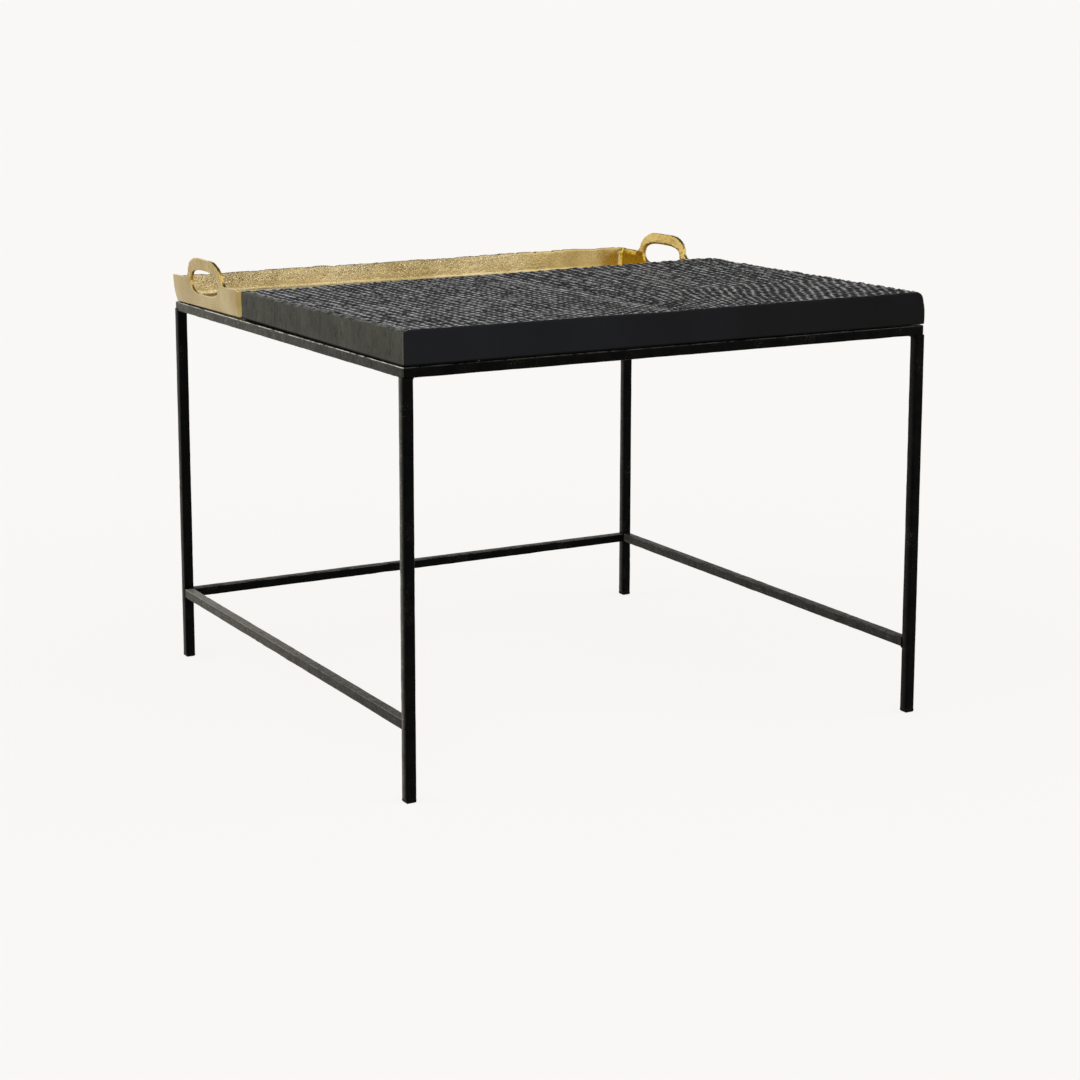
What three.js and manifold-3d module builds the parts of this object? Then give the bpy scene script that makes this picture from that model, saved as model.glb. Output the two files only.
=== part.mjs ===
// Coffee table with a lift-off tray. A welded frame of square steel tube carries a thick carved
// slab, glued up from two boards, over the front two thirds. A loose cast brass tray with an
// arched handle at each end lies on the frame behind the slab.
//
// Millimetres, +Z up. The origin is on the floor under the middle of the frame, +X runs to the
// right along the open front and +Y runs to the back.

import * as THREE from 'three';
import { mergeVertices } from 'three/addons/utils/BufferGeometryUtils.js';
import Module from 'manifold-3d';

// ---- driving dimensions -------------------------------------------------------------------

// Frame
const FRAME_WIDTH = 609;
const FRAME_DEPTH = 592;
const TUBE = 10; // outer side of the square tube
const TUBE_WALL = 1.2;
const RAIL_BASE = 411; // underside of the top rails
const STRETCHER_BASE = 71.5; // underside of the low stretchers
const MITRE_GAP = 0.2; // weld gap at each mitred corner
const CROSS_BAR_WIDTH = 20; // bar under the joint between slab and tray
const CROSS_BAR_Y = 99.5;

// Plastic plugs in the leg ends
const PLUG_HEAD = 10.4;
const PLUG_HEAD_HEIGHT = 3.5;
const PLUG_STEM = 7.2;
const PLUG_LENGTH = 16;

// Slab
const SLAB_TOP = 456;
const SLAB_BACK = 96;
const SLAB_SPACER = 1.2; // height of the washers between the frame and the slab
const GLUE_LINE = 0.2;
const END_SLOPE = 8; // how far the worked right end leans in at the top
const END_BEND = 0.4; // share of that lean that lies above the bend
const END_BEND_DROP = 2.5; // from the top down to the bend
const SHOULDER = 12; // height of the plumb lower part of that end

// Slab fixings
const TAB_LENGTH = 30;
const TAB_WIDTH = 18;
const TAB_THICKNESS = 3;
const TAB_ROWS = [-220, 30]; // Y of the front and the back pair
const SCREW_RADIUS = 2;
const SCREW_HEAD_RADIUS = 4;
const SCREW_HEAD_HEIGHT = 2.4;
const SCREW_LENGTH = 24;
const SCREW_POINT = 4; // length of its pointed tip
const PILOT_SPARE = 2; // how much deeper the pilot hole is than the screw
const SCREW_CLEARANCE = 0.3;
const WASHER_RADIUS = 7;

// Tray
const TRAY_X = -5.5; // the loose tray lies a little left of the middle
const TRAY_Y = 197.75;
const TRAY_RIM = 451;
const TRAY_HALF_LENGTH = 297; // at its underside
const TRAY_HALF_DEPTH = 94.75; // at its underside
const FLARE = 0.125; // outward lean of the walls, millimetres per millimetre of height
const TRAY_WALL = 4.5;
const TRAY_FLOOR = 4;
const TRAY_CORNER = 6;
const TRAY_FILLET = 4; // between the floor and the inside of the walls
const RIM_BEVEL_HEIGHT = 6; // filed bevel along the inside of each end wall's rim
const RIM_BEVEL_DEPTH = 3;
const TRAY_PAD = 1.5; // height of the pads that the tray stands on
const PAD_RADIUS = 2.5;
const PAD_SPREAD = 240; // from the middle of the tray to the pads at each end
const PAD_FRONT_Y = 106.5; // on the cross bar
const PAD_BACK_Y = 289; // on the back rail

// Handles, measured from the middle of the tray's end
const HANDLE_FOOT = 57;
const HANDLE_SIDE = 48;
const HANDLE_FLAT = 20;
const HANDLE_TOP = 476;
const HANDLE_BEND = 462; // where its sides turn into the arch
const HANDLE_ROOT = 12; // how far the handle runs down into the wall
const GRIP_HALF_WIDTH = 40.5;
const GRIP_BASE = 437;
const GRIP_TOP = 463.2;
const GRIP_ROUNDNESS = 2.7; // exponent of the superellipse
const GRIP_BEVEL = 1.4; // around the inside of the finger hole

const CUT_MARGIN = 3; // how far a cutting solid reaches past the surface that it cuts

// ---- values that follow from them ---------------------------------------------------------

const HALF_WIDTH = FRAME_WIDTH / 2;
const HALF_DEPTH = FRAME_DEPTH / 2;
const HALF_TUBE = TUBE / 2;
const RAIL_TOP = RAIL_BASE + TUBE;
const LEG_X = HALF_WIDTH - HALF_TUBE;
const LEG_Y = HALF_DEPTH - HALF_TUBE;
const SLAB_BASE = RAIL_TOP + SLAB_SPACER;
const SLAB_DEPTH = SLAB_BACK + HALF_DEPTH;
const TAB_X = HALF_WIDTH - TUBE - TAB_WIDTH / 2;
const TRAY_BASE = RAIL_TOP + TRAY_PAD;

const CORNERS = {
  front_left: [-1, -1],
  front_right: [1, -1],
  back_left: [-1, 1],
  back_right: [1, 1],
};

// ---- materials ----------------------------------------------------------------------------

const steel = () => new THREE.MeshStandardMaterial({ color: 0x1b1b1a, roughness: 0.45, metalness: 0.3 });
const plastic = () => new THREE.MeshStandardMaterial({ color: 0x0d0d0d, roughness: 0.5, metalness: 0 });
const wood = () => new THREE.MeshStandardMaterial({ color: 0x1d1d1e, roughness: 0.5, metalness: 0 });
const rubber = () => new THREE.MeshStandardMaterial({ color: 0x151515, roughness: 0.9, metalness: 0 });
const zinc = () => new THREE.MeshStandardMaterial({ color: 0x8c8d90, roughness: 0.4, metalness: 0.9 });
const brass = () => new THREE.MeshStandardMaterial({ color: 0xb8a061, roughness: 0.4, metalness: 0.9 });

const table = new THREE.Group();

function place(name, geometry, material, x = 0, y = 0, z = 0) {
  const mesh = new THREE.Mesh(geometry, material);
  mesh.name = name;
  mesh.position.set(x, y, z);
  table.add(mesh);
  return mesh;
}

// ---- solids -------------------------------------------------------------------------------

const wasm = await Module();
wasm.setup();

function toSolid(geometry) {
  const bare = geometry.clone();
  bare.deleteAttribute('normal');
  bare.deleteAttribute('uv');
  const merged = mergeVertices(bare, 1e-4);
  return new wasm.Manifold(new wasm.Mesh({
    numProp: 3,
    vertProperties: new Float32Array(merged.attributes.position.array),
    triVerts: new Uint32Array(merged.index.array),
  }));
}

function toGeometry(solid) {
  const mesh = solid.getMesh();
  const geometry = new THREE.BufferGeometry();
  geometry.setAttribute('position', new THREE.BufferAttribute(new Float32Array(mesh.vertProperties), 3));
  geometry.setIndex(new THREE.BufferAttribute(new Uint32Array(mesh.triVerts), 1));
  geometry.computeVertexNormals();
  return geometry;
}

function rectangle(width, height) {
  const [w, h] = [width / 2, height / 2];
  return new THREE.Shape([[-w, -h], [w, -h], [w, h], [-w, h]].map(([x, y]) => new THREE.Vector2(x, y)));
}

function roundedRectangle(halfWidth, halfHeight, radius) {
  const shape = new THREE.Shape();
  const [w, h] = [halfWidth - radius, halfHeight - radius];
  shape.absarc(w, h, radius, 0, Math.PI / 2);
  shape.absarc(-w, h, radius, Math.PI / 2, Math.PI);
  shape.absarc(-w, -h, radius, Math.PI, 1.5 * Math.PI);
  shape.absarc(w, -h, radius, 1.5 * Math.PI, 2 * Math.PI);
  return shape;
}

function disc(radius, height) {
  return new THREE.CylinderGeometry(radius, radius, height, 16)
    .rotateX(Math.PI / 2)
    .translate(0, 0, height / 2);
}

// Square tube along Z from 0 to length, open at both ends.
function tube(length) {
  const section = rectangle(TUBE, TUBE);
  section.holes.push(rectangle(TUBE - 2 * TUBE_WALL, TUBE - 2 * TUBE_WALL));
  return new THREE.ExtrudeGeometry(section, { depth: length, bevelEnabled: false });
}

// Square tube along X, centred, whose ends are mitred so that the -Y side is the long one.
function mitredRail(length) {
  const rail = tube(length).rotateY(Math.PI / 2).translate(-length / 2, 0, 0);
  const position = rail.attributes.position;
  for (let i = 0; i < position.count; i += 1) {
    const end = Math.sign(position.getX(i));
    const cut = HALF_TUBE + position.getY(i) + MITRE_GAP / 2;
    position.setX(i, position.getX(i) - end * cut);
  }
  return rail;
}

// ---- frame --------------------------------------------------------------------------------

function legs() {
  for (const [corner, [sx, sy]] of Object.entries(CORNERS)) {
    const leg = tube(RAIL_BASE - PLUG_HEAD_HEIGHT);
    place(`leg_${corner}`, leg, steel(), sx * LEG_X, sy * LEG_Y, PLUG_HEAD_HEIGHT);
  }
}

// A four-sided lathe makes the square plug: a domed head below, a stem up inside the tube.
function footPlugs() {
  const head = PLUG_HEAD / 2;
  const stem = PLUG_STEM / 2;
  const profile = [
    [0, 0],
    [head * 0.8, 0],
    [head * 0.94, PLUG_HEAD_HEIGHT * 0.15],
    [head, PLUG_HEAD_HEIGHT * 0.45],
    [head, PLUG_HEAD_HEIGHT],
    [stem, PLUG_HEAD_HEIGHT],
    [stem, PLUG_LENGTH],
    [0, PLUG_LENGTH],
  ];
  const points = profile.map(([side, z]) => new THREE.Vector2(side * Math.SQRT2, z));
  for (const [corner, [sx, sy]] of Object.entries(CORNERS)) {
    const plug = new THREE.LatheGeometry(points, 4, Math.PI / 4).rotateX(Math.PI / 2);
    place(`foot_plug_${corner}`, plug, plastic(), sx * LEG_X, sy * LEG_Y);
  }
}

function topRails() {
  const z = RAIL_BASE + HALF_TUBE;
  place('top_rail_front', mitredRail(FRAME_WIDTH), steel(), 0, -LEG_Y, z);
  place('top_rail_back', mitredRail(FRAME_WIDTH).rotateZ(Math.PI), steel(), 0, LEG_Y, z);
  place('top_rail_right', mitredRail(FRAME_DEPTH).rotateZ(Math.PI / 2), steel(), LEG_X, 0, z);
  place('top_rail_left', mitredRail(FRAME_DEPTH).rotateZ(-Math.PI / 2), steel(), -LEG_X, 0, z);
}

function crossBar() {
  const bar = new THREE.BoxGeometry(FRAME_WIDTH - 2 * TUBE, CROSS_BAR_WIDTH, TUBE);
  place('cross_bar', bar, steel(), 0, CROSS_BAR_Y, RAIL_BASE + HALF_TUBE);
}

function stretchers() {
  const z = STRETCHER_BASE + HALF_TUBE;
  const across = FRAME_WIDTH - 2 * TUBE;
  const deep = FRAME_DEPTH - 2 * TUBE;
  const back = tube(across).rotateY(Math.PI / 2).translate(-across / 2, 0, 0);
  place('stretcher_back', back, steel(), 0, LEG_Y, z);
  for (const [side, sx] of [['left', -1], ['right', 1]]) {
    const stretcher = tube(deep).rotateX(Math.PI / 2).translate(0, deep / 2, 0);
    place(`stretcher_${side}`, stretcher, steel(), sx * LEG_X, 0, z);
  }
}

// ---- slab ---------------------------------------------------------------------------------

// Section across the slab, drawn in X and Z, from the glue line to one end.
function boardSection(side) {
  const inner = side * GLUE_LINE / 2;
  const outer = side * HALF_WIDTH;
  const points = side < 0
    ? [[outer, SLAB_BASE], [inner, SLAB_BASE], [inner, SLAB_TOP], [outer, SLAB_TOP]]
    : [
      [inner, SLAB_BASE],
      [outer, SLAB_BASE],
      [outer, SLAB_BASE + SHOULDER],
      [outer - END_SLOPE * (1 - END_BEND), SLAB_TOP - END_BEND_DROP],
      [outer - END_SLOPE, SLAB_TOP],
      [inner, SLAB_TOP],
    ];
  return new THREE.Shape(points.map(([x, z]) => new THREE.Vector2(x, z)));
}

// Pilot holes for the fixing screws, a little deeper and wider than the screws.
function pilotHole(x, y) {
  const depth = SCREW_LENGTH - TAB_THICKNESS - SLAB_SPACER + PILOT_SPARE + CUT_MARGIN;
  return toSolid(disc(SCREW_RADIUS + SCREW_CLEARANCE, depth).translate(x, y, SLAB_BASE - CUT_MARGIN));
}

function slab() {
  for (const [name, side] of [['slab_board_left', -1], ['slab_board_right', 1]]) {
    const blank = new THREE.ExtrudeGeometry(boardSection(side), { depth: SLAB_DEPTH, bevelEnabled: false });
    const board = toSolid(blank.rotateX(Math.PI / 2).translate(0, SLAB_BACK, 0));
    const drilled = TAB_ROWS.reduce((solid, y) => solid.subtract(pilotHole(side * TAB_X, y)), board);
    place(name, toGeometry(drilled), wood());
  }
}

function fixings() {
  for (const [row, y] of [['front', TAB_ROWS[0]], ['back', TAB_ROWS[1]]]) {
    for (const [side, sx] of [['left', -1], ['right', 1]]) {
      const x = sx * TAB_X;
      const tabBase = RAIL_TOP - TAB_THICKNESS;
      place(`slab_tab_${row}_${side}`, tab(), steel(), x, y, tabBase);
      place(`slab_washer_${row}_${side}`, washer(), rubber(), x, y, RAIL_TOP);
      place(`slab_screw_${row}_${side}`, screw(), zinc(), x, y, tabBase - SCREW_HEAD_HEIGHT);
    }
  }
}

function screwHole() {
  return new THREE.Path().absarc(0, 0, SCREW_RADIUS + SCREW_CLEARANCE, 0, 2 * Math.PI);
}

function tab() {
  const outline = rectangle(TAB_WIDTH, TAB_LENGTH);
  outline.holes.push(screwHole());
  return new THREE.ExtrudeGeometry(outline, { depth: TAB_THICKNESS, bevelEnabled: false, curveSegments: 16 });
}

function washer() {
  const ring = new THREE.Shape().absarc(0, 0, WASHER_RADIUS, 0, 2 * Math.PI);
  ring.holes.push(screwHole());
  return new THREE.ExtrudeGeometry(ring, { depth: SLAB_SPACER, bevelEnabled: false, curveSegments: 16 });
}

// Pan head below, shank with a pointed tip above.
function screw() {
  const profile = [
    [0, 0],
    [SCREW_HEAD_RADIUS * 0.7, 0],
    [SCREW_HEAD_RADIUS, SCREW_HEAD_HEIGHT * 0.5],
    [SCREW_HEAD_RADIUS, SCREW_HEAD_HEIGHT],
    [SCREW_RADIUS, SCREW_HEAD_HEIGHT],
    [SCREW_RADIUS, SCREW_HEAD_HEIGHT + SCREW_LENGTH - SCREW_POINT],
    [0, SCREW_HEAD_HEIGHT + SCREW_LENGTH],
  ];
  const points = profile.map(([r, z]) => new THREE.Vector2(r, z));
  return new THREE.LatheGeometry(points, 12).rotateX(Math.PI / 2);
}

// ---- tray ---------------------------------------------------------------------------------

// Rounded block whose sides lean outward by FLARE, from its base plane up. A fillet rounds its
// lower and upper edges.
function flaredBlock(halfLength, halfDepth, radius, base, height, fillet) {
  const outline = roundedRectangle(halfLength, halfDepth, radius);
  const block = new THREE.ExtrudeGeometry(outline, {
    depth: height - 2 * fillet,
    bevelEnabled: fillet > 0,
    bevelThickness: fillet,
    bevelSize: fillet,
    bevelOffset: -fillet,
    bevelSegments: 3,
    curveSegments: 6,
  });
  block.translate(0, 0, base + fillet);
  const position = block.attributes.position;
  for (let i = 0; i < position.count; i += 1) {
    const lean = (position.getZ(i) - TRAY_BASE) * FLARE;
    position.setX(i, position.getX(i) + Math.sign(position.getX(i)) * lean);
    position.setY(i, position.getY(i) + Math.sign(position.getY(i)) * lean);
  }
  return toSolid(block);
}

// Side view of the handle, in Y and Z: concave feet on the rim, then an arch.
function handleOutline() {
  const half = new THREE.Path();
  half.moveTo(HANDLE_FOOT, TRAY_RIM - HANDLE_ROOT);
  half.lineTo(HANDLE_FOOT, TRAY_RIM);
  half.quadraticCurveTo(HANDLE_SIDE + 2, TRAY_RIM + 2, HANDLE_SIDE, HANDLE_BEND);
  half.bezierCurveTo(HANDLE_SIDE - 3, HANDLE_TOP - 8, HANDLE_SIDE - 14, HANDLE_TOP, HANDLE_FLAT, HANDLE_TOP);
  const right = half.getPoints(8);
  const left = right.map(({ x, y }) => new THREE.Vector2(-x, y)).reverse();
  return new THREE.Shape([...right, ...left]);
}

// The finger hole is a superellipse that dips below the rim. It can be made larger all round.
function gripOutline(larger) {
  const middle = (GRIP_TOP + GRIP_BASE) / 2;
  const halfHeight = (GRIP_TOP - GRIP_BASE) / 2 + larger;
  const halfWidth = GRIP_HALF_WIDTH + larger;
  const power = 2 / GRIP_ROUNDNESS;
  const around = (value) => Math.sign(value) * Math.abs(value) ** power;
  const points = [];
  for (let i = 0; i < 36; i += 1) {
    const angle = (i / 36) * 2 * Math.PI;
    const y = halfWidth * around(Math.cos(angle));
    points.push(new THREE.Vector2(y, middle + halfHeight * around(Math.sin(angle))));
  }
  return new THREE.Shape(points);
}

// Extrudes a Y-Z outline along X from x = from to x = to, leaning with the end wall.
function leaningPlate(outline, from, to, side) {
  const plate = new THREE.ExtrudeGeometry(outline, { depth: to - from, bevelEnabled: false, curveSegments: 8 });
  plate.applyMatrix4(new THREE.Matrix4().set(0, 0, 1, from, 1, 0, 0, 0, 0, 1, 0, 0, 0, 0, 0, 1));
  const position = plate.attributes.position;
  for (let i = 0; i < position.count; i += 1) {
    const lean = (position.getZ(i) - TRAY_BASE) * FLARE;
    position.setX(i, side * position.getX(i) + side * lean);
  }
  if (side < 0) {
    flip(plate);
  }
  return toSolid(plate);
}

// Turns the triangles of a mirrored, unindexed geometry the right way out again.
function flip(geometry) {
  const position = geometry.attributes.position;
  for (let i = 0; i < position.count; i += 3) {
    const second = new THREE.Vector3().fromBufferAttribute(position, i + 1);
    const third = new THREE.Vector3().fromBufferAttribute(position, i + 2);
    position.setXYZ(i + 1, third.x, third.y, third.z);
    position.setXYZ(i + 2, second.x, second.y, second.z);
  }
}

// What the file takes off the inside of an end wall's rim, between a corner and the handle.
function rimBevel(side, end) {
  const foot = TRAY_RIM - RIM_BEVEL_HEIGHT;
  const face = TRAY_HALF_LENGTH - TRAY_WALL + (foot - TRAY_BASE) * FLARE;
  const reach = RIM_BEVEL_DEPTH * (1 + CUT_MARGIN / RIM_BEVEL_HEIGHT);
  const corners = [
    [face - CUT_MARGIN, foot],
    [face, foot],
    [face + reach, TRAY_RIM + CUT_MARGIN],
    [face - CUT_MARGIN, TRAY_RIM + CUT_MARGIN],
  ];
  const section = new THREE.Shape(corners.map(([x, z]) => new THREE.Vector2(side * x, z)));
  const length = TRAY_HALF_DEPTH - TRAY_WALL - HANDLE_FOOT;
  const bevel = new THREE.ExtrudeGeometry(section, { depth: length, bevelEnabled: false });
  bevel.rotateX(Math.PI / 2).translate(0, length / 2 + end * (HANDLE_FOOT + 1 + length / 2), 0);
  return toSolid(bevel);
}

function tray() {
  const height = TRAY_RIM - TRAY_BASE;
  const outside = flaredBlock(TRAY_HALF_LENGTH, TRAY_HALF_DEPTH, TRAY_CORNER, TRAY_BASE, height, 0);
  const inside = flaredBlock(
    TRAY_HALF_LENGTH - TRAY_WALL,
    TRAY_HALF_DEPTH - TRAY_WALL,
    TRAY_CORNER - 1,
    TRAY_BASE + TRAY_FLOOR,
    height + 2 * TRAY_FILLET,
    TRAY_FILLET,
  );
  let body = outside.subtract(inside);
  for (const side of [-1, 1]) {
    const inner = TRAY_HALF_LENGTH - TRAY_WALL;
    const before = inner - CUT_MARGIN;
    body = body.add(leaningPlate(handleOutline(), inner, TRAY_HALF_LENGTH, side));
    body = body.subtract(leaningPlate(gripOutline(0), before, TRAY_HALF_LENGTH + CUT_MARGIN, side));
    body = body.subtract(leaningPlate(gripOutline(GRIP_BEVEL), before, inner + GRIP_BEVEL, side));
    body = body.subtract(rimBevel(side, 1)).subtract(rimBevel(side, -1));
  }
  place('tray', toGeometry(body), brass(), TRAY_X, TRAY_Y);
}

// Thin pads under the tray, over the cross bar, the side rails and the back rail.
function trayPads() {
  for (const [side, sx] of [['left', -1], ['right', 1]]) {
    const x = TRAY_X + sx * PAD_SPREAD;
    place(`tray_pad_front_${side}`, disc(PAD_RADIUS, TRAY_PAD), rubber(), x, PAD_FRONT_Y, RAIL_TOP);
    place(`tray_pad_back_${side}`, disc(PAD_RADIUS, TRAY_PAD), rubber(), x, PAD_BACK_Y, RAIL_TOP);
  }
}

legs();
footPlugs();
topRails();
crossBar();
stretchers();
slab();
fixings();
tray();
trayPads();

export default table;
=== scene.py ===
"""Looks for the coffee table with a lift-off cast tray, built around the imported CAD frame.

Everything is in metres in the CAD frame: +X right along the open front, +Y to the back, +Z up.
The steel tubes, the slab boards and the tray are rebuilt as worked surfaces in the places that
the frame gives. The small fittings stay as CAD nodes with rounded edges and better materials.
"""

import math

import bmesh
import bpy
import numpy as np
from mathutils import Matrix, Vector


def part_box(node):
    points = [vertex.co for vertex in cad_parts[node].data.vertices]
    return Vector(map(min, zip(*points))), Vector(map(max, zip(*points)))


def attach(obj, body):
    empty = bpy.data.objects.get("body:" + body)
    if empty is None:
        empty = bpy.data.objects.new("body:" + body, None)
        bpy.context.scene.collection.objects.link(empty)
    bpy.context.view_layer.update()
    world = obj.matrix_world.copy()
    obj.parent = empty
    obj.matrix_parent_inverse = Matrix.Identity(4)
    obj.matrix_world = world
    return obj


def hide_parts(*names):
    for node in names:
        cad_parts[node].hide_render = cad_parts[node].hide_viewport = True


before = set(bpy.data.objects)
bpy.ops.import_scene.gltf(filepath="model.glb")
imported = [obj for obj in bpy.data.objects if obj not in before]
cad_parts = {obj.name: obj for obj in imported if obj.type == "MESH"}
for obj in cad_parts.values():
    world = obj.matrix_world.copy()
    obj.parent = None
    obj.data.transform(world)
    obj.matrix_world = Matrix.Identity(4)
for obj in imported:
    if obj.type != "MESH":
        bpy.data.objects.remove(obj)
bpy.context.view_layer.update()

MM = 0.001
TURN = 2 * math.pi
BEVEL_ANGLE = 30  # edges sharper than this are rounded on the small fittings


# ---- camera -------------------------------------------------------------------------------

CAMERA_AT = (-1.2286, -2.1842, 0.7444)
CAMERA_YAW = 28.997
CAMERA_PITCH = 9.534
CAMERA_LENS = 76.69
CAMERA_SHIFT = (0.0193, -0.1303)


def make_camera():
    data = bpy.data.cameras.new("camera")
    data.lens = CAMERA_LENS
    data.sensor_width = 36.0
    data.shift_x, data.shift_y = CAMERA_SHIFT
    data.clip_end = 60.0
    camera = bpy.data.objects.new("camera", data)
    camera.location = CAMERA_AT
    camera.rotation_euler = (math.radians(90 - CAMERA_PITCH), 0, math.radians(-CAMERA_YAW))
    bpy.context.scene.collection.objects.link(camera)
    bpy.context.scene.camera = camera


# ---- repeatable noise ---------------------------------------------------------------------


def hashed(ix, iy, iz, seed):
    """A repeatable number from 0 to 1 for each cell of an integer lattice."""
    key = ix.astype(np.uint64) * np.uint64(374761393)
    key = key + iy.astype(np.uint64) * np.uint64(668265263)
    key = key + iz.astype(np.uint64) * np.uint64(2147483647)
    key = (key + np.uint64(seed * 1013904223)) & np.uint64(0xFFFFFFFF)
    key = ((key ^ (key >> np.uint64(13))) * np.uint64(1274126177)) & np.uint64(0xFFFFFFFF)
    key = ((key ^ (key >> np.uint64(16))) * np.uint64(2246822519)) & np.uint64(0xFFFFFFFF)
    return (key ^ (key >> np.uint64(15))).astype(np.float64) / 2.0**32


def noise(x, y, z=0.0, seed=0):
    """Smooth value noise from -1 to 1, with one lump for each unit of length."""
    x, y, z = np.broadcast_arrays(np.asarray(x, float), y, z)
    cells = [np.floor(v).astype(np.int64) for v in (x, y, z)]
    blends = []
    for value, cell in zip((x, y, z), cells):
        part = value - cell
        blends.append(part * part * (3 - 2 * part))
    total = np.zeros(x.shape)
    for dx in (0, 1):
        for dy in (0, 1):
            for dz in (0, 1):
                weight = np.abs(1 - dx - blends[0])
                weight = weight * np.abs(1 - dy - blends[1])
                weight = weight * np.abs(1 - dz - blends[2])
                total += weight * hashed(cells[0] + dx, cells[1] + dy, cells[2] + dz, seed)
    return 2 * total - 1


def smooth_step(low, high, value):
    part = np.clip((value - low) / (high - low), 0, 1)
    return part * part * (3 - 2 * part)


# ---- meshes -------------------------------------------------------------------------------


def make_object(name, points, faces, material, body):
    """A smooth mesh from points in millimetres, riding a body."""
    mesh = bpy.data.meshes.new(name)
    mesh.from_pydata((np.asarray(points) * MM).tolist(), [], faces)
    mesh.polygons.foreach_set("use_smooth", [True] * len(mesh.polygons))
    mesh.materials.append(material)
    mesh.update()
    made = bpy.data.objects.new(name, mesh)
    bpy.context.scene.collection.objects.link(made)
    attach(made, body)
    return made


def store(made, name, values):
    """Keeps one number for each point of a mesh, for its material."""
    kept = made.data.attributes.new(name, "FLOAT", "POINT")
    kept.data.foreach_set("value", np.asarray(values, np.float32))


def face_outward(made):
    """Turns every face of a closed mesh to point out."""
    work = bmesh.new()
    work.from_mesh(made.data)
    bmesh.ops.recalc_face_normals(work, faces=work.faces)
    work.to_mesh(made.data)
    work.free()


def add_bevel(made, width, segments):
    bevel = made.modifiers.new("rounded_edges", "BEVEL")
    bevel.width = width
    bevel.segments = segments
    bevel.limit_method = "ANGLE"
    bevel.angle_limit = math.radians(BEVEL_ANGLE)
    bevel.harden_normals = False


# ---- materials ----------------------------------------------------------------------------


class Shader:
    """A material's node tree, written as nested calls."""

    def __init__(self, name):
        self.material = bpy.data.materials.new(name)
        self.material.use_nodes = True
        self.tree = self.material.node_tree
        self.surface = self.tree.nodes["Principled BSDF"]

    def node(self, kind, *inputs, out=0, **settings):
        made = self.tree.nodes.new("ShaderNode" + kind)
        for key, value in settings.items():
            if key in made.bl_rna.properties:
                setattr(made, key, value)
            else:
                self.put(made.inputs[key.replace("_", " ")], value)
        for socket, value in zip(made.inputs, inputs):
            if value is not None:
                self.put(socket, value)
        return made.outputs[out]

    def put(self, socket, value):
        if isinstance(value, bpy.types.NodeSocket):
            self.tree.links.new(value, socket)
        else:
            socket.default_value = value

    def where(self):
        return self.node("TexCoord", out="Object")

    def stretched(self, scale):
        """Object coordinates, scaled along each axis."""
        return self.node("Mapping", self.where(), Scale=scale)

    def cloud(self, vector, scale, detail=3.0, roughness=0.55):
        return self.node("TexNoise", Vector=vector, Scale=scale, Detail=detail, Roughness=roughness)

    def cells(self, vector, scale):
        return self.node("TexVoronoi", feature="F1", Vector=vector, Scale=scale, Randomness=1.0)

    def attribute(self, name):
        """A number stored on the points of the mesh."""
        return self.node("Attribute", attribute_name=name, out="Fac")

    def along(self, axis):
        """Object coordinate along one axis, by its number."""
        return self.node("SeparateXYZ", self.where(), out=axis)

    def ramp(self, value, low, high, start=0.0, end=1.0):
        return self.node("MapRange", value, low, high, start, end)

    def maths(self, operation, first, second):
        return self.node("Math", first, second, operation=operation)

    def times(self, first, second):
        return self.maths("MULTIPLY", first, second)

    def larger(self, first, second):
        return self.maths("MAXIMUM", first, second)

    def blend(self, amount, first, second):
        mix = self.tree.nodes.new("ShaderNodeMix")
        mix.data_type = "RGBA"
        for number, value in ((0, amount), (6, first), (7, second)):
            self.put(mix.inputs[number], value)
        return mix.outputs[2]

    def bump(self, height, distance, strength=1.0, under=None):
        made = self.node("Bump", Strength=strength, Distance=distance, Height=height)
        if under is not None:
            self.put(made.node.inputs["Normal"], under)
        return made

    def finish(self, **sockets):
        for name, value in sockets.items():
            self.put(self.surface.inputs[name.replace("_", " ")], value)
        return self.material


def grey(value, red=1.0, green=1.0, blue=1.0):
    return (value * red, value * green, value * blue, 1.0)


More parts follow.
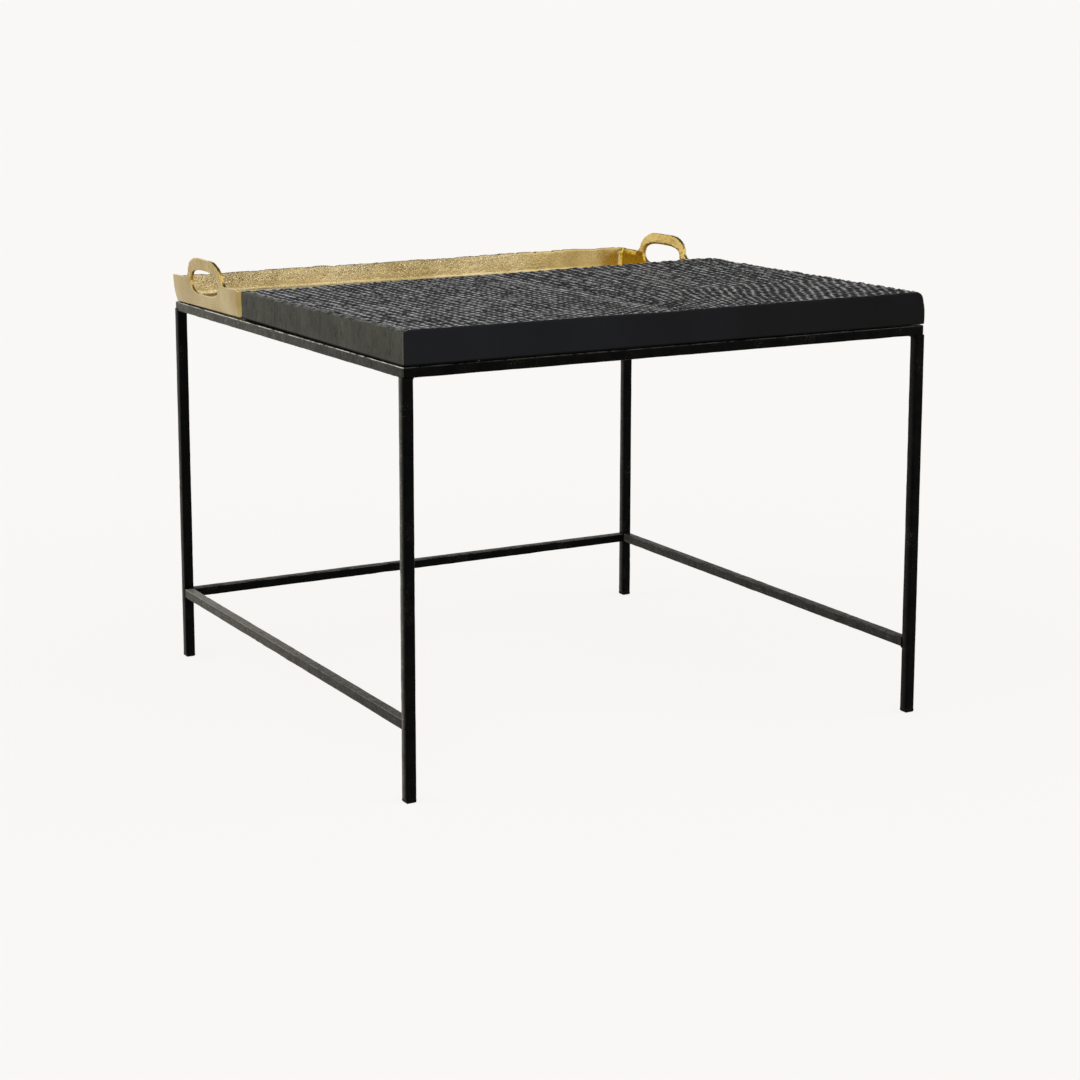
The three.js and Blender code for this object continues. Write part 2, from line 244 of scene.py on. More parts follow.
def frame_paint():
    """Satin black paint over worked steel: mottled, abraded to bare steel along the upper edges
    with a painted highlight there, with bare specks, and painted light as a grey coat on the left
    and upper faces.
    """
    s = Shader("frame_paint")
    place = s.where()
    mottle = s.cloud(place, 70.0, 4.0)
    fine = s.cloud(place, 800.0, 3.0)
    edge = s.attribute("edge")
    # painted light: a grey coat on the left and upper faces of the bars, as if lit there, in a
    # share set per bar
    painted_light = s.attribute("painted_light")
    patches = s.ramp(s.cloud(place, 24.0, 3.0), 0.55, 0.68)
    scuffs = s.ramp(s.cloud(s.stretched((900.0, 300.0, 900.0)), 1.0, 4.0, 0.7), 0.60, 0.70)
    specks = s.ramp(s.cells(place, 520.0), 0.20, 0.12)
    bare = s.times(s.larger(scuffs, specks), patches)
    scratches = s.ramp(s.cloud(s.stretched((420.0, 150.0, 420.0)), 1.0, 5.0, 0.75), 0.56, 0.66)
    # upper edges: partly bare steel where the paint is abraded, partly a painted highlight along
    # the rounded edge
    worn_and_lit_edge = s.times(edge, s.ramp(s.cloud(place, 45.0, 6.0, 0.75), 0.40, 0.54))
    bare_and_lit = s.larger(s.times(bare, 0.15), worn_and_lit_edge)
    # scratches are shown only where the painted light lies
    bare_and_lit = s.larger(bare_and_lit, s.times(scratches, s.times(painted_light, 0.16)))
    base = s.blend(s.ramp(mottle, 0.35, 0.7), grey(0.0004), grey(0.0018, 1.0, 1.03, 0.85))
    # painted light: the left and upper faces turn a warm grey where the light falls
    painted_light_grey = s.times(painted_light, s.ramp(s.cloud(place, 80.0, 5.0, 0.6), 0.30, 0.60, 0.45, 0.9))
    base = s.blend(painted_light_grey, base, (0.066, 0.063, 0.052, 1))
    # painted sheen: palest grey where the painted light share goes over 1, mostly on the top of
    # stretcher_left and the left face of the front left leg
    base = s.blend(s.ramp(painted_light, 1.25, 2.4), base, (0.21, 0.205, 0.185, 1))
    normal = s.bump(s.cells(place, 160.0), 0.0007, 0.45)
    normal = s.bump(fine, 0.00012, 0.6, normal)
    return s.finish(
        Base_Color=s.blend(bare_and_lit, base, (0.56, 0.56, 0.50, 1)),
        Roughness=s.ramp(mottle, 0.3, 0.75, 0.28, 0.44),
        Specular_IOR_Level=0.028,
        Normal=normal,
    )


def carved_stain():
    """Black stained wood, carved: a polished coat on the ridges, matt in the gouges; painted shade
    darkens the gouges and painted light makes the ridges paler towards the left.
    """
    s = Shader("carved_stain")
    grain = s.cloud(s.stretched((260.0, 14.0, 260.0)), 1.0, 4.0, 0.6)
    pores = s.cloud(s.where(), 1300.0, 2.0)
    deep = s.attribute("gouge")
    border = s.attribute("sawn")
    thin, thick = grey(0.005, 0.93, 0.98, 1.10), grey(0.014, 0.94, 0.98, 1.10)
    black = s.blend(s.ramp(grain, 0.3, 0.75), thin, thick)
    # painted shade: the colour turns near black deep in the gouges
    black = s.blend(s.ramp(deep, 0.12, 0.55), black, grey(0.0009))
    # painted light: the ridges are made paler towards the left end, where the light falls
    to_left = s.ramp(s.along(0), -0.30, 0.10, 1.0, 0.0)
    painted_ridge_light = s.times(s.ramp(deep, 0.50, 0.22), to_left)
    black = s.blend(painted_ridge_light, black, grey(0.11, 0.96, 0.99, 1.06))
    colour = s.blend(border, black, (0.030, 0.031, 0.023, 1))
    normal = s.bump(grain, 0.0002, 0.3)
    normal = s.bump(pores, 0.00008, 0.4, normal)
    dull = s.larger(s.ramp(deep, 0.1, 0.7, 0.0, 0.42), s.times(border, 0.2))
    return s.finish(
        Base_Color=colour,
        Roughness=s.maths("ADD", s.ramp(grain, 0.3, 0.75, 0.24, 0.34), dull),
        Specular_IOR_Level=0.46,
        Specular_Tint=(0.90, 0.95, 1.0, 1),
        Normal=normal,
    )


def side_stain():
    """The boards' sides: smooth satin black with a painted sheen that grows towards the left, and a
    dull, powdery olive where they are left sawn; the near upright edge has a pale line that is
    partly a painted highlight, and the lower arris and underside are painted dark as shade.
    """
    s = Shader("side_stain")
    place = s.where()
    grain = s.cloud(s.stretched((90.0, 90.0, 30.0)), 1.0, 3.0, 0.5)
    upright = s.cloud(s.stretched((30.0, 300.0, 22.0)), 1.0, 5.0, 0.65)
    pores = s.cloud(place, 1300.0, 2.0)
    sawn = s.attribute("sawn")
    rough = s.maths("MINIMUM", sawn, 1.0)
    # the near upright edge: a paler line, partly an abraded arris and partly a painted highlight
    worn_and_lit_edge = s.ramp(sawn, 1.2, 1.8)
    # painted sheen: the black sides are made lighter towards the left, where the light falls, with
    # random smudges added
    leftward = s.ramp(s.along(0), -0.30, 0.30, 1.0, 0.0)
    smudges = s.ramp(s.cloud(s.stretched((16.0, 16.0, 7.0)), 1.0, 3.0, 0.5), 0.40, 0.75, 0.0, 0.35)
    sheen = s.maths("MINIMUM", s.maths("ADD", leftward, smudges), 1.0)
    black = s.blend(sheen, grey(0.0004, 0.90, 0.98, 1.20), grey(0.0058, 0.86, 0.96, 1.26))
    stripes = s.ramp(upright, 0.32, 0.68)
    cloudy = s.ramp(s.cloud(place, 34.0, 5.0, 0.6), 0.34, 0.68)
    olive = s.blend(stripes, (0.021, 0.0212, 0.0168, 1), (0.029, 0.0294, 0.0225, 1))
    olive = s.blend(cloudy, olive, (0.044, 0.0445, 0.0330, 1))
    tears = s.ramp(s.cloud(s.stretched((200.0, 200.0, 75.0)), 1.0, 4.0, 0.65), 0.63, 0.70)
    flecks = s.cloud(s.stretched((330.0, 330.0, 190.0)), 1.0, 3.0, 0.6)
    flecks = s.ramp(flecks, 0.65, 0.72, 0.0, 0.7)
    olive = s.blend(tears, olive, (0.006, 0.006, 0.005, 1))
    olive = s.blend(flecks, olive, (0.085, 0.086, 0.062, 1))
    olive = s.blend(worn_and_lit_edge, olive, (0.085, 0.085, 0.062, 1))
    normal = s.bump(grain, 0.0002, 0.15)
    normal = s.bump(s.times(upright, rough), 0.0005, 0.4, normal)
    normal = s.bump(s.times(s.cloud(place, 120.0, 4.0), rough), 0.0016, 0.45, normal)
    normal = s.bump(pores, 0.00008, 0.3, normal)
    # painted shade: the lower arris and underside turn near black and matt, so the gap over the
    # rails reads dark
    painted_gap_shade = s.attribute("painted_gap_shade")
    colour = s.blend(painted_gap_shade, s.blend(rough, black, olive), grey(0.0003))
    matt = s.larger(s.times(rough, 0.2), s.times(painted_gap_shade, 0.5))
    return s.finish(
        Base_Color=colour,
        Roughness=s.maths("ADD", s.ramp(grain, 0.3, 0.75, 0.30, 0.38), matt),
        Specular_IOR_Level=0.085,
        Normal=normal,
    )


def cast_brass():
    """Satin cast brass: clean on the ground faces, sandy where the casting was left alone, with
    painted glints and painted shade in the sand, and a painted deep-gold reflection on the inner
    end walls.
    """
    s = Shader("cast_brass")
    place = s.where()
    sand = s.cloud(place, 560.0, 4.0, 0.72)
    grit = s.cloud(place, 950.0, 3.0, 0.6)
    fine = s.cloud(place, 1500.0, 2.0)
    tone = s.cloud(place, 26.0, 2.0, 0.5)
    brushed = s.cloud(s.stretched((60.0, 60.0, 700.0)), 1.0, 3.0)
    rough_cast = s.attribute("raw_casting")
    gold_and_reflection = s.attribute("handle_gold_and_painted_reflection")
    ground = s.blend(s.ramp(tone, 0.30, 0.70), (0.365, 0.255, 0.090, 1), (0.490, 0.390, 0.170, 1))
    # painted reflection: deep gold on the inner end walls, where brass reflects brass, and a warmer
    # gold tint on the handles
    ground = s.blend(gold_and_reflection, ground, (0.41, 0.262, 0.012, 1))
    broad = s.cloud(place, 11.0, 3.0, 0.6)
    raw = s.blend(s.ramp(broad, 0.38, 0.62), (0.36, 0.270, 0.110, 1), (0.54, 0.440, 0.235, 1))
    patches = s.ramp(s.cloud(place, 30.0, 4.0, 0.6), 0.40, 0.58, 0.45, 1.0)
    sandy = s.times(patches, s.ramp(s.along(0), -0.05, 0.27, 1.0, 0.40))
    sandy = s.times(sandy, s.ramp(s.along(2), 0.430, 0.441, 0.35, 1.1))
    # painted shade in the sand hollows and painted glints on its raised specks, in the sandy
    # patches
    painted_pit_shade = s.times(s.ramp(sand, 0.46, 0.38), sandy)
    painted_glints = s.times(s.ramp(grit, 0.53, 0.61), sandy)
    raw = s.blend(painted_pit_shade, raw, (0.14, 0.090, 0.025, 1))
    raw = s.blend(painted_glints, raw, (1.0, 0.93, 0.68, 1))
    colour = s.blend(rough_cast, ground, raw)
    normal = s.bump(s.times(sand, s.times(rough_cast, sandy)), 0.0022, 0.9)
    near_rim = s.ramp(s.along(2), 0.4465, 0.4505)
    holes = s.ramp(s.cloud(s.stretched((110.0, 110.0, 260.0)), 1.0, 4.0, 0.6), 0.56, 0.64)
    holes = s.times(holes, s.times(near_rim, rough_cast))
    colour = s.blend(holes, colour, (0.05, 0.034, 0.014, 1))
    polished = s.ramp(gold_and_reflection, 0.0, 0.2)
    waves = s.times(s.cloud(place, 130.0, 3.0, 0.5), polished)
    normal = s.bump(waves, 0.0022, 0.5, normal)
    normal = s.bump(brushed, 0.0001, 0.3, normal)
    normal = s.bump(fine, 0.00010, 0.3, normal)
    satin = s.ramp(sand, 0.3, 0.7, 0.20, 0.32)
    return s.finish(
        Base_Color=colour,
        Metallic=1.0,
        Roughness=s.maths("SUBTRACT", satin, s.times(polished, 0.06)),
        Normal=normal,
    )


def plain_finish(name, colour, roughness, metallic, grain, specular=0.5):
    """Small fittings: one colour, slightly mottled, with a fine grain."""
    s = Shader(name)
    place = s.where()
    mottle = s.cloud(place, 500.0, 3.0)
    darker = tuple(0.7 * channel for channel in colour[:3]) + (1.0,)
    return s.finish(
        Base_Color=s.blend(s.ramp(mottle, 0.35, 0.65), darker, colour),
        Roughness=s.ramp(mottle, 0.3, 0.7, roughness, roughness + 0.12),
        Metallic=metallic,
        Specular_IOR_Level=specular,
        Normal=s.bump(s.cloud(place, 2500.0, 2.0), grain, 0.5),
    )


# ---- shared sizes -------------------------------------------------------------------------

TUBE_ROUNDING = 0.9  # outer edge radius of the square tube
PAINT_BUILD = 0.12  # paint and scale standing proud of the drawn tube
LEG_BUILD = 0.45  # the same on the legs, which look thicker than the drawn 10 mm tube
CORNER_DROOP = 2.4  # how far the top frame sags at its back left corner
TUBE_WALL = 1.2
BAR_STEP = 2.0  # spacing of the rings along a bar
SECTION_ARC = 3  # steps round each edge of a bar's section
SECTION_FLAT = 3  # points inside each flat of it
MITRE_GAP = 0.2  # left between the CAD rails, and filled here
CORNER_ROUNDING = 3.2  # where the corners of the top frame are ground round
FINE = 1.4  # spacing of the points on the slab


def box_mm(node):
    """A CAD node's lowest and highest corners, in millimetres."""
    return [np.array(corner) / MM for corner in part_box(node)]


def quads_between(first, second, count):
    """Faces between two rings of points, given the index of each ring's first point."""
    pairs = [(i, (i + 1) % count) for i in range(count)]
    return [(first + i, first + j, second + j, second + i) for i, j in pairs]


def roundness(u, v):
    """Where points lie in a square corner, u and v out from its centre, and what rounds it."""
    near = (u > 0) & (v > 0)
    scale = np.where(near, np.maximum(u, v) / np.maximum(np.hypot(u, v), 1e-6), 1.0)
    return near, scale


# ---- worked steel bars --------------------------------------------------------------------


def rounded_section(half_u, half_v, radius):
    """Points round a rounded rectangle, the way out at each, and 1 on its edges or else 0."""
    points, ways, edges = [], [], []
    corners = [(1, 1), (-1, 1), (-1, -1), (1, -1)]
    for turn, corner in enumerate(corners):
        centre = np.array(corner) * (half_u - radius, half_v - radius)
        for step in range(SECTION_ARC + 1):
            angle = (turn + step / SECTION_ARC) * TURN / 4
            way = np.array([math.cos(angle), math.sin(angle)])
            points.append(centre + radius * way)
            ways.append(way)
            edges.append(float(0 < step < SECTION_ARC))
        start = points[-1]
        end = np.array(corners[(turn + 1) % 4]) * (half_u - radius, half_v - radius) + radius * way
        for step in range(1, SECTION_FLAT + 1):
            points.append(start + (end - start) * step / (SECTION_FLAT + 1))
            ways.append(way)
            edges.append(0.0)
    return np.array(points), np.array(ways), np.array(edges)


def bar_rings(low, high, axis, stations, inset, mitred):
    """Rings of points along a bar from low to high, and the way out at each point."""
    sides = [side for side in range(3) if side != axis]
    middle, half = (low + high) / 2, (high - low) / 2
    radius = max(TUBE_ROUNDING - inset, 0.4)
    section, way, edges = rounded_section(half[sides[0]] - inset, half[sides[1]] - inset, radius)
    points = np.zeros((len(stations), len(section), 3))
    ways = np.zeros_like(points)
    for number, side in enumerate(sides):
        points[:, :, side] = middle[side] + section[:, number]
        ways[:, :, side] = way[:, number]
    setback = np.zeros(len(section))
    if mitred:
        across = sides[0]
        setback = half[across] - np.sign(middle[across]) * section[:, 0]
    start, end = low[axis] + setback, high[axis] - setback
    points[:, :, axis] = start + (end - start) * np.asarray(stations)[:, None]
    return points, ways, np.tile(edges, len(stations))


def steel_relief(points, seed):
    """Millimetres that worked steel stands proud: waves, hammer marks and rough patches."""
    x, y, z = points[..., 0], points[..., 1], points[..., 2]
    rough = smooth_step(0.0, 0.5, noise(x / 55, y / 55, z / 55, seed + 3))
    waves = 0.20 * noise(x / 24, y / 24, z / 24, seed)
    dents = (0.10 + 0.16 * rough) * noise(x / 6.5, y / 6.5, z / 6.5, seed + 1)
    grain = (0.03 + 0.10 * rough) * noise(x / 2.4, y / 2.4, z / 2.4, seed + 2)
    return waves + dents + grain


def grind_corners(points, low, high):
    """Rounds the four upright corners of the top frame in plan."""
    for sx in (-1, 1):
        for sy in (-1, 1):
            corner = np.array([high[0] if sx > 0 else low[0], high[1] if sy > 0 else low[1]])
            inner = corner - np.array([sx, sy]) * CORNER_ROUNDING
            u = (points[..., 0] - inner[0]) * sx
            v = (points[..., 1] - inner[1]) * sy
            near, scale = roundness(u, v)
            points[..., 0] = np.where(near, inner[0] + sx * u * scale, points[..., 0])
            points[..., 1] = np.where(near, inner[1] + sy * v * scale, points[..., 1])


def droop(points, low, high):
    """Lets the back left corner of the top frame sag, tapering off towards the other corners."""
    to_left = np.clip((high[0] - points[..., 0]) / (high[0] - low[0]), 0, 1)
    to_back = np.clip((points[..., 1] - low[1]) / (high[1] - low[1]), 0, 1)
    points[..., 2] -= CORNER_DROOP * to_left * to_back


def worked_bar(name, material, seed, mitred=False, hollow=True, relief=1.0, edge_wear_and_light=0.1, painted_light=(0, 0)):
    """Rebuilds one bar of the frame as a hollow tube with rounded, hand-worked faces."""
    low, high = box_mm(name)
    axis = int(np.argmax(high - low))
    if mitred:
        low[axis] -= MITRE_GAP / 2
        high[axis] += MITRE_GAP / 2
    stations = np.linspace(0, 1, round((high - low)[axis] / BAR_STEP))
    outer, ways, edges = bar_rings(low, high, axis, stations, 0.0, mitred)
    from_end = np.minimum(outer[..., axis] - low[axis], high[axis] - outer[..., axis])
    amount = steel_relief(outer, seed) * relief
    if mitred:
        amount = amount * smooth_step(8, 20, from_end)
    outer += ways * (amount + (LEG_BUILD if axis == 2 else PAINT_BUILD))[..., None]
    # painted light: a share on the left and upper faces of each bar, as if lit, running between its
    # front and back values
    upward = TOP_PAINTED_LIGHT.get(name, PLAIN_TOP_PAINTED_LIGHT)
    painted_light_share = np.clip(-ways[..., 0], 0, 1) + upward * np.clip(ways[..., 2], 0, 1)
    painted_light_share = (painted_light_share * np.interp(outer[..., 1], (-296, 296), painted_light)).reshape(-1)
    # on the legs the front strip of the left face is left without painted light
    if axis == 2:
        painted_light_share = painted_light_share * smooth_step(low[1] + 2.5, low[1] + 7.5, outer[..., 1]).reshape(-1)
    if mitred:
        grind_corners(outer, *box_mm_of(TOP_RAILS))
        droop(outer, *box_mm_of(TOP_RAILS))
    around = outer.shape[1]
    rows = len(stations)
    points = outer.reshape(-1, 3)
    faces = []
    for row in range(rows - 1):
        faces += quads_between(row * around, (row + 1) * around, around)
    if hollow:
        inner, _, plain = bar_rings(low, high, axis, (0.0, 1.0), TUBE_WALL, mitred)
        if mitred:
            droop(inner, *box_mm_of(TOP_RAILS))
        start, end = rows * around, (rows + 1) * around
        points = np.concatenate([points, inner.reshape(-1, 3)])
        edges = np.concatenate([edges, 0 * plain])
        painted_light_share = np.concatenate([painted_light_share, 0 * plain])
        faces += quads_between(start, 0, around)
        faces += quads_between((rows - 1) * around, end, around)
        faces += quads_between(end, start, around)
    else:
        faces.append(tuple(range(around)))
        faces.append(tuple(range((rows - 1) * around, rows * around)))
    made = make_object("worked_" + name, points, faces, material, "table")
    face_outward(made)
    # upper edges only, at a strength set per bar: abraded paint and a painted highlight
    store(made, "edge", edges * edge_wear_and_light * (points[:, 2] > (low + high)[2] / 2))
    store(made, "painted_light", painted_light_share)
    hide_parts(name)
    return made


def box_mm_of(nodes):
    """The box round several CAD nodes, in millimetres."""
    boxes = [box_mm(node) for node in nodes]
    return np.min([low for low, _ in boxes], axis=0), np.max([high for _, high in boxes], axis=0)


TOP_RAILS = ["top_rail_front", "top_rail_back", "top_rail_left", "top_rail_right"]
CORNERS = {
    "front_left": (-1, -1),
    "front_right": (1, -1),
    "back_left": (-1, 1),
    "back_right": (1, 1),
}
LEGS = ["leg_" + corner for corner in CORNERS]
STRETCHERS = ["stretcher_left", "stretcher_back", "stretcher_right"]
EDGE_WEAR_AND_LIGHT = {"top_rail_left": 1.0, "top_rail_front": 0.07}  # upper edges abraded to bare steel, with a painted highlight along them
TOP_PAINTED_LIGHT = {"stretcher_left": 1.8}  # how strong the painted light on a bar's upper face is against its left face
PLAIN_TOP_PAINTED_LIGHT = 0.7
PAINTED_LIGHT_ENDS = {  # how strong the painted light on the left and upper faces is, at a bar's front and back end
    "top_rail_left": (0.48, 1.2),
    "stretcher_left": (0.42, 1.2),
    "stretcher_back": (0.6, 0.6),
    "stretcher_right": (0.4, 0.6),
    "leg_front_left": (1.5, 1.5),
    "leg_front_right": (0.2, 0.2),
    "leg_back_left": (0.6, 0.6),
    "leg_back_right": (0.9, 0.9),
}


def make_bars(material):
    bars = [(name, 10 * seed, False, 0.55, 0.0) for seed, name in enumerate(LEGS)]
    bars += [(name, 100 + 10 * seed, True, 1.0, 0.0) for seed, name in enumerate(TOP_RAILS)]
    bars += [(name, 200 + 10 * seed, False, 0.8, 0.15) for seed, name in enumerate(STRETCHERS)]
    for name, seed, mitred, relief, edge_wear_and_light in bars:
        edge_wear_and_light = EDGE_WEAR_AND_LIGHT.get(name, edge_wear_and_light)
        worked_bar(name, material, seed, mitred, True, relief, edge_wear_and_light, PAINTED_LIGHT_ENDS.get(name, (0, 0)))
    worked_bar("cross_bar", material, 300, hollow=False, relief=0.5)


# ---- weld beads ---------------------------------------------------------------------------

FRAME_WELD = 2.8  # bead radius where the legs meet the top frame
BAR_WELD = 1.5
TAB_WELD = 1.3
WELD_RIPPLE = 2.3  # length of one ripple
WELD_STEP = 0.6
WELD_SIDES = 10


def weld(name, corners, material, seed, radius):
    """A lumpy bead along a path in millimetres, with ripples and tapered ends."""
    path = np.array(corners, float)
    lengths = np.concatenate([[0], np.cumsum(np.linalg.norm(np.diff(path, axis=0), axis=1))])
    total = lengths[-1]
    along = np.linspace(0, total, max(6, round(total / WELD_STEP)))
    centres = np.stack([np.interp(along, lengths, path[:, i]) for i in range(3)], axis=1)
    centres[1:-1] = (centres[:-2] + 2 * centres[1:-1] + centres[2:]) / 4
    heading = np.gradient(centres, axis=0)
    heading /= np.linalg.norm(heading, axis=1)[:, None]
    spread = path.max(axis=0) - path.min(axis=0)
    flat = np.zeros(3)
    flat[int(np.argmin(spread))] = 1.0
    side = np.cross(heading, flat)
    side /= np.linalg.norm(side, axis=1)[:, None]
    ends = np.sqrt(np.clip(np.minimum(along, total - along) / radius, 0.06, 1))
    ripple = 0.88 + 0.12 * np.abs(np.sin(along * math.pi / WELD_RIPPLE))
    angles = np.arange(WELD_SIDES) / WELD_SIDES * TURN
    rings = []
    for i, centre in enumerate(centres):
        ring = np.outer(np.cos(angles), flat) + np.outer(np.sin(angles), side[i])
        lumps = 1 + 0.16 * noise(*(centre + ring * radius).T / 1.7, seed)
        rings.append(centre + ring * (radius * ends[i] * ripple[i] * lumps)[:, None])
    points = np.concatenate(rings)
    faces = []
    for row in range(len(centres) - 1):
        faces += quads_between(row * WELD_SIDES, (row + 1) * WELD_SIDES, WELD_SIDES)
    faces.append(tuple(range(WELD_SIDES)))
    faces.append(tuple(range(len(points) - WELD_SIDES, len(points))))
    made = make_object(name, points, faces, material, "table")
    face_outward(made)
    return made


def make_welds(material):
    for seed, (corner, (sx, sy)) in enumerate(CORNERS.items()):
        low, high = box_mm("leg_" + corner)
        inner = np.where(np.array([sx, sy]) > 0, low[:2], high[:2])
        outer = np.where(np.array([sx, sy]) > 0, high[:2], low[:2]) - np.array([sx, sy]) * 0.8
        top = high[2] - 0.3
        path = [(inner[0], outer[1], top), (inner[0], inner[1], top), (outer[0], inner[1], top)]
        path = np.array(path, float)
        droop(path, *box_mm_of(TOP_RAILS))
        weld("weld_top_" + corner, path, material, 400 + seed, FRAME_WELD)
    for seed, name in enumerate(STRETCHERS):
        low, high = box_mm(name)
        axis = int(np.argmax(high - low))
        across = 1 - axis
        outward = np.sign((low + high)[across])
        outer, inner = (high[across], low[across]) if outward > 0 else (low[across], high[across])
        outer -= outward * 0.9
        for end, place in (("start", low[axis]), ("end", high[axis])):
            loop = [(outer, high[2]), (inner, high[2]), (inner, low[2]), (outer, low[2])]
            path = np.zeros((4, 3))
            path[:, axis] = place
            path[:, across] = [across_place for across_place, _ in loop]
            path[:, 2] = [height for _, height in loop]
            weld(f"weld_{name}_{end}", path, material, 420 + 2 * seed + (end == "end"), BAR_WELD)
    low, high = box_mm("cross_bar")
    for end, x in (("left", low[0]), ("right", high[0])):
        top = high[2] - 1
        path = [(x, low[1], top), (x, low[1], low[2]), (x, high[1], low[2]), (x, high[1], top)]
        weld("weld_cross_bar_" + end, path, material, 440 + (end == "right"), BAR_WELD)
    for seed, corner in enumerate(CORNERS):
        low, high = box_mm("slab_tab_" + corner)
        x = low[0] if corner.endswith("left") else high[0]
        path = [(x, low[1] + 2, low[2] + 0.3), (x, high[1] - 2, low[2] + 0.3)]
        weld("weld_tab_" + corner, path, material, 450 + seed, TAB_WELD)


# ---- carved slab --------------------------------------------------------------------------

RIDGE_HEIGHT = 456.0
RIDGE_FRONT = (456.5, 456.1, 457.3)  # at the left end, the middle and the right end
RIDGE_BACK = (451.6, 453.6, 457.2)
EDGE_RADIUS = 1.1
ARRIS = 0.8  # lower edge
UPRIGHT_EDGE = 1.3
SHOULDER_HEIGHT = 12.0  # of the plumb lower part of the right end
END_SLOPE = 8.0  # how far that end leans in at the top
SIDE_RINGS = 20
SLAB_LIFT = 0.1  # the boards' underside lies this much above its drawn height
SAWN_DEPTH = 0.3
KNOTS = ((-235.0, 437.0, 9.0), (-165.0, 434.0, 6.0))  # along the left face: y, z, size


GOUGE_PITCH = {-1: (9.4, 11.4), 1: (10.3, 11.2)}  # along x and y, on the left and right board
GOUGE_LOOSENESS = {-1: 0.17, 1: 0.26}  # how far a gouge strays, in pitches
GOUGE_REACH = (0.61, 0.66)  # its radii, in pitches
GOUGE_DEPTH = 2.5
GOUGE_DEPTH_SPREAD = 1.2


def gouges(x, y, side):
    """How deep the gouged hollows are at each point of one board's top."""
    pitch_x, pitch_y = GOUGE_PITCH[side]
    reach_x, reach_y = GOUGE_REACH
    loose = GOUGE_LOOSENESS[side]
    right_share = smooth_step(-80, 160, x)
    slant = np.minimum(y + 150, 0) * 0.40 * right_share
    wander_x = 2.6 * noise(x / 60, y / 60, 0.0, 31) + 0.9 * noise(x / 17, y / 17, 0.0, 32)
    wander_y = 3.0 * noise(x / 50, y / 50, 0.0, 33)
    sheared = x - (0.03 + 0.13 * right_share) * (y + 100) - slant
    a = (sheared + wander_x) / pitch_x
    b = (y + wander_y) / pitch_y
    columns = np.floor(a).astype(np.int64)
    deepest = np.zeros(x.shape)
    for di in (-1, 0, 1):
        column = columns + di
        stagger = 0.5 * (column % 2) + 0.2 * hashed(column, 0 * column, 0 * column, 49)
        rows = np.floor(b - stagger).astype(np.int64)
        for dj in (-1, 0, 1):
            row = rows + dj
            cell = (column, row, np.zeros_like(row))
            jitter = [hashed(*cell, 50 + n) - 0.5 for n in range(5)]
            centre_a = column + 0.5 + loose * jitter[0]
            centre_b = row + 0.5 + stagger + loose * jitter[1]
            across = (a - centre_a) * pitch_x
            along = (b - centre_b) * pitch_y
            turn = 0.25 * right_share + 0.35 * jitter[2]
            u = across * np.cos(turn) - along * np.sin(turn)
            v = across * np.sin(turn) + along * np.cos(turn)
            size = 1 + 0.25 * jitter[3]
            reach = np.hypot(u / (reach_x * pitch_x * size), v / (reach_y * pitch_y * size))
            depth = GOUGE_DEPTH + GOUGE_DEPTH_SPREAD * jitter[4]
            hollow = depth * (0.5 + 0.5 * np.cos(math.pi * np.clip(reach, 0, 1))) ** 0.75
            deepest = np.maximum(deepest, hollow)
    return deepest


def top_height(x, y, side):
    """Height of a board's top, and how far each point lies down in a gouge."""
    ends = (-304.0, 0.0, 304.0)
    to_back = np.clip((y + 296) / 392, 0, 1)
    ridge = np.interp(x, ends, RIDGE_FRONT) * (1 - to_back)
    ridge = ridge + np.interp(x, ends, RIDGE_BACK) * to_back
    ridge = ridge + 0.25 * noise(x / 85, y / 85, 0.0, 41) + 0.15 * noise(x / 9, y / 9, 0.0, 42)
    front_dip = 0.5 * smooth_step(-75, -30, x) * (x < 0) + 0.3 * smooth_step(185, 205, x)
    ridge = ridge - front_dip * smooth_step(-284, -295, y)
    depth = gouges(x, y, side)
    depth = depth * (0.80 + 0.14 * noise(x / 40, y / 40, 0.0, 43))
    joint = np.exp(-(((x + 12) / 9) ** 2))
    depth = depth * (1 - 0.45 * joint) * (1 + 0.35 * np.exp(-(((x - 14) / 10) ** 2)))
    if side < 0:
        border = smooth_step(-300.5, -296, x + 1.5 * noise(y / 14, 0.0, 0.0, 44))
        lumps = 0.7 * noise(x / 3, y / 5, 0.0, 45) + 0.8 * noise(x / 8, y / 11, 0.0, 46)
        lumps = lumps * (1 - border)
        ridge = ridge + lumps - 2.0 * smooth_step(-298, -304, x)
        depth = depth * border
    depth = depth * (0.35 + 0.65 * smooth_step(-295.5, -291, y))
    return ridge - depth, np.clip(depth / 1.4, 0, 1)


def lines_across(low, high):
    """Grid lines from low to high, closer together at both ends."""
    tight = np.array([0.0, 0.4, 0.9, 1.6])
    inner = np.linspace(low + 2.6, high - 2.6, round((high - low) / FINE))
    return np.concatenate([low + tight, inner, high - tight[::-1]])


def sawn_relief(along, z, ends):
    """Rough-sawn relief of the left face: upright saw lines, tears and knots."""
    saw = 0.6 * noise(along / 1.9, z / 28, 0.0, 61) + 0.4 * noise(along / 5.5, z / 40, 0.0, 62)
    lumps = noise(along / 13, z / 9, 0.0, 63)
    tears = smooth_step(0.45, 0.75, noise(along / 3.2, z / 8, 0.0, 64))
    relief = SAWN_DEPTH * (0.5 * saw + 0.7 * lumps) - 0.5 * tears
    for knot_y, knot_z, size in KNOTS:
        away = np.hypot(along - knot_y, (z - knot_z) * 0.8)
        relief = relief + 0.45 * np.cos(away * 1.7) * np.exp(-((away / size) ** 2))
    return relief * ends


